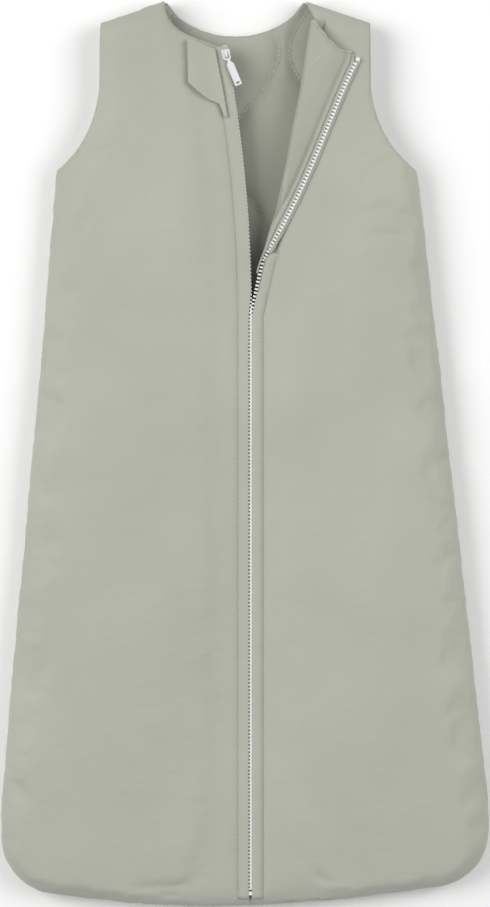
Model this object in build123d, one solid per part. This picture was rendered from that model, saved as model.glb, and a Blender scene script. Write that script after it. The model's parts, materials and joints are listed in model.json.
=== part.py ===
from build123d import *
from math import asin, cos, degrees, radians, sin
import os

# A padded sleeveless sleeping bag for a baby, lying flat on its back, in millimetres.
# +Z is up from the surface, +Y runs from the hem to the neck, and +X is the viewer's right.
# The origin is at the bottom centre of the bag's bounding box.

# ---- overall cut ----
body_length = 713.0        # hem to the neck point of the shoulder
neck_width = 112.0         # between the two neck points
shoulder_width = 212.0     # between the two shoulder tips
shoulder_drop = 17.0       # tip lies this much lower than the neck point
armhole_depth = 118.0      # shoulder tip to underarm, along the bag
armhole_straight = 45.0    # upper stretch of the armhole that runs straight down
chest_width = 286.0        # underarm to underarm
hem_width = 385.0          # widest place, just above the hem corners
hem_round = 46.0           # radius of the hem corners
hem_ease = 280.0           # the sides bend into the hem's width with this radius
hem_sag = 20.0             # the hem's curve drops this much at its middle
hem_tilt = 8.0             # the right end of the hem lies this much higher
back_neck_depth = 26.0     # back neckline below the neck points
yoke_shift = -7.6          # the yoke lies this far to the left of the hem's middle

# ---- layers ----
height = 28.0              # thickness of the bag where it lies flat
edge_round = 13.0          # roundness of the side, hem and shoulder edges
cloth = 0.8                # outer cloth and lining
wadding = 5.3              # padding between them
ply_gap = 0.1              # clearance between one layer and the next
wall = 2 * cloth + wadding + ply_gap
seam_height = 6.3          # the side seam settles this high above the surface

# ---- zip ----
zip_x = 4.4                # the closed chain lies here
zip_open_at = 107.0        # height at which the closed chain ends and the two rows part
chain_width = 3.9          # across the teeth
tooth_pitch = 2.86         # from one tooth to the next on one row
tooth_length = 1.3         # along the chain
tooth_height = 2.4
tape_width = 10.0
tape_thickness = 0.6
tape_gap = 0.05            # teeth butt on the tape's edge with this clearance
lean_gap = 0.2             # more of it where the tape leans away from teeth that still stand square
zip_depth = 1.3            # middle of the chain below the face of the bag
cloth_to_chain = 0.25      # closed chain to the folded edge of the cloth
seam_back = 3.0            # wadding and lining end this far behind the outer cloth
hem_clear = 13.5           # the chain stops this far above the hem's lowest point
stop_length = 3.0
stop_gap = 0.4             # between a stop and the last tooth

# ---- left edge of the opening ----
left_bend = 1122.0         # radius of the gentle bend of the left row
left_top = 320.0           # the left row ends at this height

# ---- folded-back lapel on the right ----
fold_angle = 11.83         # lean of the fold line from the bag's length
fold_gap = 0.3             # between the folded lapel and the panel under it
lapel_start = 58.0         # the moving part starts this far up the fold line
lapel_neck_end = 237.0     # the fold line meets the neckline here
# free edge of the lapel: distance up the fold line, and out from it
lapel_row = [(54.0, 1.6), (75.0, 8.3), (103.4, 16.0), (148.6, 25.3), (187.0, 32.5), (215.7, 39.2)]
lapel_neck = [(231.0, 6.0), (224.0, 14.5), (218.6, 24.0), (219.5, 33.0)]

# ---- slider and pull ----
slider_y = 312.5           # the slider rests at this height on the left row
slider_length = 7.8
slider_width = 6.7
slider_plate = 1.0
slider_clear = 0.3         # between the teeth and the slider
slot = 1.0                 # the tape passes through this
bail_length = 5.2
bail_width = 1.4
bail_bar = 0.8
pin_height = 1.6           # pull's pivot above the slider
pin_diameter = 1.1
pull_length = 26.0         # from the pivot
pull_width = 5.6
pull_thickness = 1.2
pull_yaw = 11.9            # the pull hangs this much to the right of the slider's line
eye_width = 5.2
eye_length = 4.3           # from the pivot to the far side of the eye
eye_bar = 0.9
stem_end = 7.0             # the narrow stem ends here and the plate begins
shoulder_end = 8.6         # the plate reaches its full width here
neck_of_pull = 2.3
slider_low = 34.0          # the slider stops this far above the closed chain

# ---- guard flap by the zip's top ----
guard_reach = 22.5         # out from its hinge line
guard_top = 322.0
guard_bottom = 263.0
guard_cloth = 0.5
guard_core = 1.0
guard_gap = 0.05
guard_clear = 0.4          # between the upright guard and the slider

# ---- working values ----
left_x = -neck_width / 2 + yoke_shift
right_x = neck_width / 2 + yoke_shift
top_y = body_length / 2
tip_y = top_y - shoulder_drop
under_y = tip_y - armhole_depth
low_y = -body_length / 2
widest_y = low_y + 80.0
shift_per_mm = yoke_shift / (top_y - widest_y)
side_slope = (hem_width - chest_width) / 2 / (under_y - widest_y)
shoulder_slope = shoulder_drop / ((shoulder_width - neck_width) / 2)
far = hem_width + body_length
half_chain = chain_width / 2
closed_edge = half_chain + cloth_to_chain
open_edge = slider_width / 2 + fold_gap
zip_z = height - zip_depth
chain_low = low_y + hem_clear
hem_join = chain_low - stop_length - 2 * stop_gap
bend_centre = Vector(zip_x - left_bend, zip_open_at, 0)
rest_angle = degrees(asin((slider_y - zip_open_at) / left_bend))
fold_up = Vector(sin(radians(fold_angle)), cos(radians(fold_angle)), 0)
fold_out = Vector(fold_up.Y, -fold_up.X, 0)
fold_foot = Vector(zip_x + closed_edge, zip_open_at, 0)
fold_axis = Axis((fold_foot.X, fold_foot.Y, height + fold_gap / 2), (fold_up.X, fold_up.Y, 0))


def middle(y):
    """Middle of the bag at a height, because the yoke lies a little to one side."""
    return shift_per_mm * max(y - widest_y, 0.0)


def half_width(y):
    """Half of the bag's width along its side seams."""
    return chest_width / 2 + side_slope * (under_y - y)


def save(node, shape):
    """Writes one node."""
    solids = shape.solids() if hasattr(shape, "solids") else list(shape)
    export_step(Compound(children=list(solids)) if len(solids) > 1 else solids[0], f"parts/{node}.step")


def closed(*edges):
    """A flat face inside a ring of edges."""
    return make_face(edges)


def block(face, low, high):
    """A flat face as a slab between two heights."""
    return Pos(0, 0, low) * extrude(face, amount=high - low, dir=(0, 0, 1))


# ---- outline without armholes and neck, as the sewn seams run ----
def envelope_face():
    peak = (middle(top_y), top_y + shoulder_slope * neck_width / 2)
    corner_half = half_width(tip_y)
    corner_y = tip_y - shoulder_slope * (corner_half - shoulder_width / 2)
    end_half = hem_width / 2
    left_end = (-end_half, low_y + hem_sag - hem_tilt / 2)
    right_end = (end_half, low_y + hem_sag + hem_tilt / 2)
    sides = Polyline(
        left_end,
        (-end_half, widest_y),
        (middle(corner_y) - corner_half, corner_y),
        peak,
        (middle(corner_y) + corner_half, corner_y),
        (end_half, widest_y),
        right_end,
    )
    hem = ThreePointArc(right_end, (-hem_tilt, low_y), left_end)
    face = closed(*sides.edges(), *hem.edges())
    hem_corners = face.vertices().sort_by(Axis.Y)[:2]
    face = fillet(hem_corners, hem_round)
    face = fillet([v for v in face.vertices() if abs(v.Y - widest_y) < 1.0], hem_ease)
    return fillet([v for v in face.vertices() if v.Y > under_y], edge_round * 2)


def envelope(face, inset):
    """The whole bag as a rounded pillow, drawn in by an inset on every side."""
    inner = offset(face, amount=-inset) if inset else face
    pillow = block(inner, inset, height - inset)
    rims = pillow.edges().filter_by(lambda e: abs(e.center().Z - inset) < 0.01)
    rims += pillow.edges().filter_by(lambda e: abs(e.center().Z - height + inset) < 0.01)
    return fillet(rims, edge_round - inset)


def armhole(side):
    """Everything outside one armhole; side is -1 on the left and 1 on the right."""
    tip = (middle(tip_y) + side * shoulder_width / 2, tip_y)
    bend = (tip[0] + side * 0.5, tip_y - armhole_straight)
    under = (middle(under_y) + side * chest_width / 2, under_y)
    drop = bend[1] - under_y
    reach = abs(under[0] - bend[0])
    curve = Bezier(
        bend,
        (bend[0], bend[1] - 0.45 * drop),
        (under[0] - side * 0.5 * reach, under_y + 0.15 * drop),
        under,
    )
    above = tip_y + armhole_depth
    outer = [under, (under[0] + side * far, under_y), (tip[0] + side * far, above), (tip[0], above)]
    ring = Polyline(*outer, tip, bend)
    return closed(*curve.edges(), *ring.edges())


def back_neck():
    lowest = ((left_x + right_x) / 2, top_y - back_neck_depth)
    arc = ThreePointArc((left_x, top_y), lowest, (right_x, top_y))
    lid = Polyline((right_x, top_y), (right_x, top_y + far), (left_x, top_y + far), (left_x, top_y))
    return closed(*arc.edges(), *lid.edges())


def left_row_point(out, y):
    """A point beside the left row: out is measured to the left from the middle of the teeth."""
    radius = left_bend - out
    turn = asin((y - zip_open_at) / radius)
    return (bend_centre.X + radius * cos(turn), y)


def front_left_neck():
    foot = left_row_point(open_edge, left_top - 1.0)
    start = (left_x, top_y)
    curve = Spline(start, (left_x + 11.5, top_y - 24.0), (left_x + 27.0, top_y - 31.5), foot)
    lid = Polyline(foot, (foot[0] + 60.0, foot[1]), (foot[0] + 60.0, top_y + far), (left_x, top_y + far), start)
    return closed(*curve.edges(), *lid.edges())


def left_front(closed_out, open_out):
    """Region of the left front: closed_out and open_out are its distances from the chain."""
    foot = (zip_x - closed_out, zip_open_at - 4.0)
    low = left_row_point(open_out, zip_open_at + 2.0)
    high = left_row_point(open_out, top_y + 10.0)
    mid = left_row_point(open_out, (low[1] + high[1]) / 2)
    arc = ThreePointArc(low, mid, high)
    seam = zip_x - ply_gap / 2
    hem = [(-far, -far), (seam, -far), (seam, hem_join), (foot[0], hem_join)]
    rest = Polyline(high, (-far, high[1] + far), *hem, foot, low)
    return closed(*arc.edges(), *rest.edges())


def on_fold(up, out):
    """A point on the folded lapel: up along the fold line and out from it."""
    point = fold_foot + fold_up * up + fold_out * out
    return (point.X, point.Y)


def right_front(closed_out, fold_out_by):
    """Region of the right front: beside the chain, then behind the fold line."""
    seam = zip_x + ply_gap / 2
    start = (seam, -far)
    points = [start, (seam, hem_join), (zip_x + closed_out, hem_join)]
    points += [(zip_x + closed_out, zip_open_at), on_fold(6.0, fold_out_by)]
    points += [on_fold(lapel_neck_end, fold_out_by), (right_x, top_y + 0.5), (right_x, far), (far, far), (far, -far)]
    return closed(*Polyline(*points, start).edges())


def beside_row(points, inward):
    """The lapel's free edge, moved in towards the fold by a distance."""
    moved = []
    for i, (up, out) in enumerate(points):
        before = Vector(*points[max(i - 1, 0)])
        after = Vector(*points[min(i + 1, len(points) - 1)])
        along = (after - before).normalized()
        moved.append((up + along.Y * inward, out - along.X * inward))
    return moved


def unfolded(up, out):
    """The same point when the lapel is turned over to close the bag."""
    return on_fold(up, -out)


def lapel_face(inward):
    """The lapel, flat and closed, its free edge drawn in from the middle of the teeth."""
    row = beside_row(lapel_row, inward)
    first = row[0]
    edge = Spline(*[unfolded(*p) for p in row])
    neck = Spline(unfolded(lapel_neck_end, fold_gap), *[unfolded(*p) for p in lapel_neck])
    end = unfolded(*row[-1])
    line = Polyline(
        unfolded(*first),
        unfolded(first[0], -far / 4),
        unfolded(lapel_neck_end, -far / 4),
        unfolded(lapel_neck_end, fold_gap),
    )
    corner = Line(unfolded(*lapel_neck[-1]), end)
    whole = closed(*edge.edges(), *corner.edges(), *neck.edges(), *line.edges())
    low_end, high_end = lapel_start + inward, lapel_neck_end + 40.0
    corners = [(low_end, fold_gap), (high_end, fold_gap), (high_end, far / 3), (low_end, far / 3)]
    trim = closed(*Polyline(*[unfolded(*p) for p in corners], unfolded(*corners[0])).edges())
    return whole & trim


def left_tape_face(near, wide):
    """Left tape beside its row, from a near distance out to near + wide."""
    low_left, low_right = (zip_x - near - wide, chain_low), (zip_x - near, chain_low)
    inner = [left_row_point(near, y) for y in (zip_open_at, (zip_open_at + left_top) / 2, left_top)]
    outer = [left_row_point(near + wide, y) for y in (left_top, (zip_open_at + left_top) / 2, zip_open_at)]
    edges = [Line(low_left, low_right), Line(low_right, inner[0]), ThreePointArc(*inner)]
    edges += [Line(inner[2], outer[0]), ThreePointArc(*outer), Line(outer[2], low_left)]
    return closed(*[e for part in edges for e in part.edges()])


def right_tape_face(near, wide):
    """Right tape: beside the closed chain, then a short way up the fold line."""
    shift = near - closed_edge + lean_gap
    top = lapel_start - 10.0
    points = [(zip_x + near, chain_low), (zip_x + near, zip_open_at), on_fold(4.0, shift), on_fold(top, shift)]
    points += [on_fold(top, shift + wide), (zip_x + near + wide, zip_open_at), (zip_x + near + wide, chain_low)]
    return closed(*Polyline(*points, points[0]).edges())


def tooth():
    """One moulded tooth, a waisted block whose head points along +X."""
    waist = 0.25
    half = tooth_length / 2
    points = [(-half_chain, -half), (-0.3, -half), (0.2, -half + waist), (0.7, -half), (half_chain, -half)]
    outline = Polyline(*points, *[(x, -y) for x, y in reversed(points)], points[0])
    return extrude(closed(*outline.edges()), amount=tooth_height / 2, both=True)


def teeth(places):
    """Teeth at (x, y, turn) places, with the row's head side turned by 180 degrees if needed."""
    one = tooth()
    return [Pos(x, y, zip_z) * Rot(0, 0, turn) * one for x, y, turn in places]


def straight_places(start_y, turn):
    """Places on the closed chain."""
    count = int((zip_open_at - start_y - tooth_pitch / 2) / tooth_pitch)
    return [(zip_x, start_y + tooth_pitch * (i + 0.5), turn) for i in range(count)]


def left_places():
    """Closed stretch, then round the bend of the left row."""
    places = straight_places(chain_low, 0)
    first = places[-1][1] + tooth_pitch
    step = degrees(tooth_pitch / left_bend)
    turn = degrees(asin((first - zip_open_at) / left_bend))
    while bend_centre.Y + left_bend * sin(radians(turn)) < left_top - stop_length - 1.0:
        angle = radians(turn)
        places.append((bend_centre.X + left_bend * cos(angle), bend_centre.Y + left_bend * sin(angle), turn))
        turn += step
    return places


def right_places():
    """Closed stretch, half a pitch out of step, then up beside the fold line, turning once clear."""
    places = straight_places(chain_low + tooth_pitch / 2, 180)
    clear_of_left = (chain_width + tooth_length) / fold_up.X
    y = places[-1][1] + tooth_pitch
    while y < on_fold(lapel_start - 12.0, 0.0)[1]:
        up = (y - zip_open_at) / fold_up.Y
        turn = fold_angle * min(max(up / clear_of_left - 1.0, 0.0), 1.0)
        x = on_fold(max(up, 0.0), 0.0)[0] - closed_edge
        places.append((x, y, 180 - turn))
        y += tooth_pitch
    return places


def lapel_places():
    """Along the lapel's free edge, as it lies when it is closed."""
    edge = Spline(*[unfolded(*p) for p in lapel_row]).edge()
    places = []
    along = lapel_start - lapel_row[0][0] + 2.0
    while along < edge.length - stop_length - stop_gap - tooth_length:
        point = edge.location_at(along, position_mode=PositionMode.LENGTH).position
        way = edge.tangent_at(along, position_mode=PositionMode.LENGTH)
        places.append((point.X, point.Y, 180 - degrees(asin(way.X))))
        along += tooth_pitch
    return places


def stop_block(x, y, turn):
    """A moulded stop as wide as the chain."""
    body = Box(chain_width - 0.6, stop_length, tooth_height + 0.2)
    body = fillet(body.edges().filter_by(Axis.Z), 0.5)
    return Pos(x, y, zip_z) * Rot(0, 0, turn) * body


def turned_over(shape):
    """The lapel folded back onto the right front."""
    return shape.rotate(fold_axis, 180)


# ---- panels ----
def panels():
    face = envelope_face()
    holes = armhole(-1) + armhole(1)
    cutter_low, cutter_high = -5.0, height + 5.0
    arms = block(holes, cutter_low, cutter_high)
    back_cut = block(back_neck(), cutter_low, cutter_high)
    left_cut = block(front_left_neck(), cutter_low, cutter_high)
    skin = envelope(face, 0)
    under_skin = envelope(face, cloth)
    pad = envelope(face, cloth + ply_gap)
    pad_inner = envelope(face, wall - cloth - ply_gap)
    lining_outer = envelope(face, wall - cloth)
    cavity = envelope(face, wall)
    everywhere = Rectangle(2 * far, 2 * far)
    below = block(everywhere, -1.0, seam_height)
    back_pad = block(everywhere, 0.0, wall - cloth - ply_gap)
    back_lining = block(everywhere, wall - cloth, wall)
    above = block(everywhere, seam_height, height + 1.0)
    above_lining = block(everywhere, wall + ply_gap, height + 1.0)

    save("back_outer", (skin - under_skin) & below - arms - back_cut)
    save("back_wadding", (pad & back_pad) - arms - back_cut)
    save("back_lining", (pad & back_lining) - arms - back_cut)

    outer = (skin - under_skin) & above - arms
    padding = (pad - pad_inner) & above_lining - arms
    lining = (lining_outer - cavity) & above_lining - arms
    tape_low, tape_high = zip_z - tape_thickness / 2 - ply_gap, height - cloth
    left_relief = block(left_tape_face(half_chain, tape_width + ply_gap), tape_low, tape_high)
    right_relief = block(right_tape_face(half_chain, tape_width + ply_gap), tape_low, tape_high)
    left_outer = block(left_front(closed_edge, open_edge), 0, height + 1.0)
    left_inner = block(left_front(closed_edge + seam_back, open_edge + seam_back), 0, height + 1.0)
    right_outer = block(right_front(closed_edge, fold_gap), 0, height + 1.0)
    right_inner = block(right_front(closed_edge + seam_back, fold_gap), 0, height + 1.0)
    save("front_left_outer", (outer & left_outer) - left_cut)
    save("front_left_wadding", (padding & left_inner) - left_cut - left_relief)
    save("front_left_lining", (lining & left_inner) - left_cut)
    save("front_right_outer", outer & right_outer)
    save("front_right_wadding", (padding & right_inner) - right_relief)
    save("front_right_lining", lining & right_inner)


# ---- zip ----
def zip_parts():
    tape_near = half_chain + tape_gap
    low, high = zip_z - tape_thickness / 2, zip_z + tape_thickness / 2
    save("zip_tape_left", block(left_tape_face(tape_near, tape_width), low, high))
    save("zip_tape_right", block(right_tape_face(tape_near, tape_width), low, high))
    save("zip_teeth_left", teeth(left_places()))
    save("zip_teeth_right", teeth(right_places()))
    top = left_row_point(0.0, left_top - stop_length / 2)
    save("top_stop_left", stop_block(top[0], top[1], degrees(asin((top[1] - zip_open_at) / left_bend))))
    save("bottom_stop", stop_block(zip_x, chain_low - stop_length / 2 - stop_gap, 0))


# ---- lapel ----
def lapel_parts():
    outer = lapel_face(closed_edge)
    inner = lapel_face(closed_edge + seam_back)
    tape = lapel_face(half_chain + tape_gap) - lapel_face(half_chain + tape_gap + tape_width)
    relief = lapel_face(half_chain) - lapel_face(half_chain + tape_width + ply_gap)
    low, high = zip_z - tape_thickness / 2, zip_z + tape_thickness / 2
    pad_low, pad_high = height - wall + cloth + ply_gap, height - cloth - ply_gap
    pad = block(inner, pad_low, pad_high) - block(relief, low - ply_gap, height)
    save("lapel_outer", turned_over(block(outer, height - cloth, height)))
    save("lapel_wadding", turned_over(pad))
    save("lapel_facing", turned_over(block(inner, height - wall, height - wall + cloth)))
    save("zip_tape_lapel", turned_over(block(tape, low, high)))
    save("zip_teeth_lapel", [turned_over(one) for one in teeth(lapel_places())])
    edge = Spline(*[unfolded(*p) for p in lapel_row]).edge()
    place = edge.length - stop_length / 2
    point = edge.location_at(place, position_mode=PositionMode.LENGTH).position
    way = edge.tangent_at(place, position_mode=PositionMode.LENGTH)
    save("top_stop_lapel", turned_over(stop_block(point.X, point.Y, -degrees(asin(way.X)))))


# ---- slider and pull ----
def slider_place():
    """Middle of the slider on the left row, turned with the row."""
    x, y = left_row_point(0.0, slider_y)
    return Pos(x, y, zip_z) * Rot(0, 0, rest_angle)


def slider_outline():
    half, end = slider_width / 2, slider_length / 2
    tail = half - 0.6
    points = [(-half, end), (half, end), (half, -end * 0.3), (tail, -end), (-tail, -end), (-half, -end * 0.3)]
    face = closed(*Polyline(*points, points[0]).edges())
    return fillet(face.vertices(), 0.7)


def slider_parts():
    inside = tooth_height / 2 + slider_clear
    lip_face = half_chain + slider_clear
    top = inside + slider_plate
    body = extrude(slider_outline(), amount=top, both=True)
    body -= Box(2 * lip_face, 2 * slider_length, 2 * inside)
    body -= Pos(-slider_width, 0, 0) * Box(2 * slider_width, 2 * slider_length, slot)
    body -= Pos(slider_width, -slider_length / 2, 0) * Box(2 * slider_width, slider_length, slot)
    lock_y = bail_length / 2 - bail_bar - 0.75
    lock_hole = 0.5
    body -= Pos(0, lock_y, top) * Cylinder(lock_hole, 2 * slider_plate + 0.5)
    save("slider_body", slider_place() * body)

    crown = pin_height + pin_diameter / 2 + 0.45 + bail_bar
    hoop = Pos(0, 0, top + crown / 2) * Box(bail_width, bail_length, crown)
    ridge = hoop.edges().filter_by(Axis.X).sort_by(Axis.Z)[-2:]
    hoop = fillet(ridge, 1.1)
    window = Box(2 * bail_width, bail_length - 2 * bail_bar, 2 * (crown - bail_bar))
    save("slider_bail", slider_place() * (hoop - Pos(0, 0, top) * window))

    leaf_length = bail_length - 2 * bail_bar - 0.4
    leaf = Pos(0, 0, top + 0.2) * Box(0.9, leaf_length, 0.3)
    pin_low = tooth_height / 2 + 0.1
    leaf += Pos(0, lock_y, (pin_low + top + 0.2) / 2) * Cylinder(0.35, top + 0.2 - pin_low)
    save("lock_spring", slider_place() * leaf)

    save("pull_tab", slider_place() * Pos(0, 0, top + pin_height) * Rot(0, 0, pull_yaw) * pull_tab())


def pull_tab():
    """The pull in its own frame: the pivot at the origin, the tab along -Y."""
    pin = pin_diameter / 2
    eye = Pos(0, -(eye_length - pin) / 2) * Rectangle(eye_width, eye_length + pin)
    eye = fillet(eye.vertices(), 0.5)
    hole_end = eye_length - eye_bar
    hole = Pos(0, -(hole_end + pin) / 2) * Rectangle(eye_width - 2 * bail_bar, hole_end - pin)
    stem = Pos(0, -(eye_length + stem_end) / 2) * Rectangle(neck_of_pull, stem_end - eye_length + 0.4)
    half_neck, half = neck_of_pull / 2, pull_width / 2
    points = [(-half_neck, -stem_end + 0.8), (half_neck, -stem_end + 0.8), (half, -shoulder_end)]
    points += [(half, -pull_length), (-half, -pull_length), (-half, -shoulder_end)]
    plate = closed(*Polyline(*points, points[0]).edges())
    plate = fillet(plate.vertices().sort_by(Axis.Y)[:4], 0.7)
    tie_hole = Pos(0, -pull_length + 2.1) * Rectangle(2.8, 1.5)
    tie_hole = fillet(tie_hole.vertices(), 0.3)
    body = extrude((eye - hole) + stem + plate - tie_hole, amount=pull_thickness / 2, both=True)
    recess_low, recess_high = -pull_length + 3.8, -shoulder_end - 0.6
    recess = Rectangle(pull_width - 2.0, recess_high - recess_low)
    recess = Pos(0, (recess_low + recess_high) / 2) * fillet(recess.vertices(), 0.6)
    return body - Pos(0, 0, pull_thickness / 2 - 0.25) * extrude(recess, amount=1.0)


# ---- guard ----
def guard_frame():
    """Hinge line of the guard: its foot, and its direction and outward side."""
    out = slider_width / 2 + guard_clear + fold_gap + 2 * guard_cloth + guard_core + 2 * guard_gap
    foot = Vector(*left_row_point(out, guard_bottom), 0)
    head = Vector(*left_row_point(out, guard_top), 0)
    along = (head - foot).normalized()
    return foot, head, along, Vector(-along.Y, along.X, 0)


def guard_parts():
    foot, head, along, out = guard_frame()
    length = (head - foot).length

    def at(up, reach):
        point = foot + along * up + out * reach
        return (point.X, point.Y)

    points = [at(0.0, fold_gap), at(length, fold_gap), at(length + 1.5, guard_reach)]
    points += [at(length - 29.0, guard_reach + 4.5), at(length - 43.5, guard_reach - 9.5)]
    points += [at(12.0, 5.5), at(1.5, 3.0)]
    face = closed(*Polyline(*points, points[0]).edges())
    face = fillet(face.vertices().filter_by(lambda v: (Vector(v.X, v.Y, 0) - foot).dot(out) > 10.0), 2.5)
    level = height + fold_gap
    layers = [("guard_lining", guard_cloth), ("guard_interlining", guard_core), ("guard_outer", guard_cloth)]
    for node, thick in layers:
        save(node, block(face, level, level + thick))
        level += thick + guard_gap
    print("guard hinge foot", foot, "direction", along)


os.makedirs("parts", exist_ok=True)
panels()
zip_parts()
lapel_parts()
slider_parts()
guard_parts()
print("fold axis", fold_axis)
print("row bend centre", bend_centre, "rest angle", rest_angle)
print("slider travel", rest_angle - degrees(slider_low / left_bend))
print("pull pivot", slider_place().position, "height", zip_z + tooth_height / 2 + slider_clear + slider_plate + pin_height)
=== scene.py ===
# %% [markdown]
# # A padded sleeping bag for a baby
# The bag lies flat on its back with its zip part open and one side of the opening folded back.
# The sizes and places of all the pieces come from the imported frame, which this script loads first.
# Every soft piece is then made again as cloth or padding around the places that the frame gives.

# %% Load the frame
import json
import math
import bmesh
import bpy
from mathutils import Matrix, Vector, noise
from mathutils.bvhtree import BVHTree


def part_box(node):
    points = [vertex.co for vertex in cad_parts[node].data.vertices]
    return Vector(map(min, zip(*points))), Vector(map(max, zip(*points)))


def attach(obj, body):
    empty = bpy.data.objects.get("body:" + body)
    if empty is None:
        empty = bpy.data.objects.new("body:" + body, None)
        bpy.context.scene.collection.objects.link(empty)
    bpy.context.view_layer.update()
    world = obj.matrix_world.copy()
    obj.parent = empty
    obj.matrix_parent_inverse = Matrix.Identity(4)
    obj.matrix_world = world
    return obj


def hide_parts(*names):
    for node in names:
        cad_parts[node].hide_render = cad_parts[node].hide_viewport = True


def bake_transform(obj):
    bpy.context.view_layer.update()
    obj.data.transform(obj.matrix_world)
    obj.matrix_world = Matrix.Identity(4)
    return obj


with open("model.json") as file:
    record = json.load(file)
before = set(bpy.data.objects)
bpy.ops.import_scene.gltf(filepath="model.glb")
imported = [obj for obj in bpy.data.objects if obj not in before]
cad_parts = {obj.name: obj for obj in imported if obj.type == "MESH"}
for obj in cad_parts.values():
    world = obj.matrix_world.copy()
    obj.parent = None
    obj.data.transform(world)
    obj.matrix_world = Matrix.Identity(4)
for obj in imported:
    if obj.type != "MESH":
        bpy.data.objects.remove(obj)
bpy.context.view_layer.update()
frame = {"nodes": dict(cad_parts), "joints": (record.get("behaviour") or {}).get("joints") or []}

# %% [markdown]
# ## Camera
# A garment laid out flat is looked at from straight above. A long lens from two metres up keeps
# the outline true, and its picture is as tall as the bag with a hair's breadth to spare.

# %% Camera
LENS = 100.0
SENSOR = 36.0
PICTURE_LENGTH = 0.7168
SEAM_LEVEL = 0.012

camera_data = bpy.data.cameras.new("overhead_camera")
camera_data.lens = LENS
camera_data.sensor_width = SENSOR
camera = bpy.data.objects.new("overhead_camera", camera_data)
camera.location = (0.0002, 0.0, SEAM_LEVEL + PICTURE_LENGTH * LENS / SENSOR)
bpy.context.scene.collection.objects.link(camera)
bpy.context.scene.camera = camera
bpy.context.scene.view_settings.view_transform = "Standard"
print("camera height", round(camera.location.z, 3))

# %% [markdown]
# ## Floor and light
# Two large soft lamps high on the left and the right show the relief of the padding on a plain pale
# floor. Neither looks straight down, so the inside of the opening stays dark, as it does in a deep bag.

# %% Floor and light
def new_object(name, mesh):
    """A new object of this mesh, at the origin, in the scene."""
    piece = bpy.data.objects.new(name, mesh)
    bpy.context.scene.collection.objects.link(piece)
    return piece


def as_mesh(made, name):
    """Turns a bmesh into a mesh and lets the bmesh go."""
    mesh = bpy.data.meshes.new(name)
    made.to_mesh(mesh)
    made.free()
    return mesh


def plain_material(name, colour, roughness):
    """A material with one colour, for the stage."""
    material = bpy.data.materials.new(name)
    material.use_nodes = True
    shader = material.node_tree.nodes["Principled BSDF"]
    shader.inputs["Base Color"].default_value = (*colour, 1.0)
    shader.inputs["Roughness"].default_value = roughness
    return material


floor_mesh = bmesh.new()
bmesh.ops.create_grid(floor_mesh, x_segments=1, y_segments=1, size=3.0)
floor = new_object("floor", as_mesh(floor_mesh, "floor"))
floor.location.z = -0.0004
floor.data.materials.append(plain_material("pale_floor", (0.96, 0.96, 0.96), 0.9))

world = bpy.data.worlds.new("studio")
world.use_nodes = True
world.node_tree.nodes["Background"].inputs["Color"].default_value = (1.0, 1.0, 1.0, 1.0)
world.node_tree.nodes["Background"].inputs["Strength"].default_value = 0.36
bpy.context.scene.world = world


def soft_lamp(name, place, size, power):
    """A square lamp that faces the middle of the bag."""
    lamp_data = bpy.data.lights.new(name, "AREA")
    lamp_data.shape = "SQUARE"
    lamp_data.size = size
    lamp_data.energy = power
    lamp = bpy.data.objects.new(name, lamp_data)
    lamp.location = place
    lamp.rotation_euler = (-Vector(place)).to_track_quat("-Z", "Y").to_euler()
    bpy.context.scene.collection.objects.link(lamp)
    return lamp


soft_lamp("left_lamp", place=(-1.6, 0.4, 1.7), size=1.5, power=34.5)
soft_lamp("right_lamp", place=(1.6, 0.4, 1.7), size=1.5, power=25.0)
print("stage ready")

# %% [markdown]
# ## Cloth and thread
# The bag is a fine plain-weave cotton with a crushed, crepe-like surface. Such cloth is matt with a
# soft sheen at grazing angles. Two crossed waves give the weave, a stretched noise gives the crush,
# and slow noise varies the dye. All of it is read from Object coordinates, so it stays in place.

# %% Cloth material
def link_nodes(tree, source, output, target, socket):
    """Joins one node's output to another node's socket."""
    tree.links.new(source.outputs[output], target.inputs[socket])


def add_node(tree, kind, **values):
    """A node with some of its inputs set."""
    node = tree.nodes.new(kind)
    for socket, value in values.items():
        node.inputs[socket.replace("_", " ")].default_value = value
    return node


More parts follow.
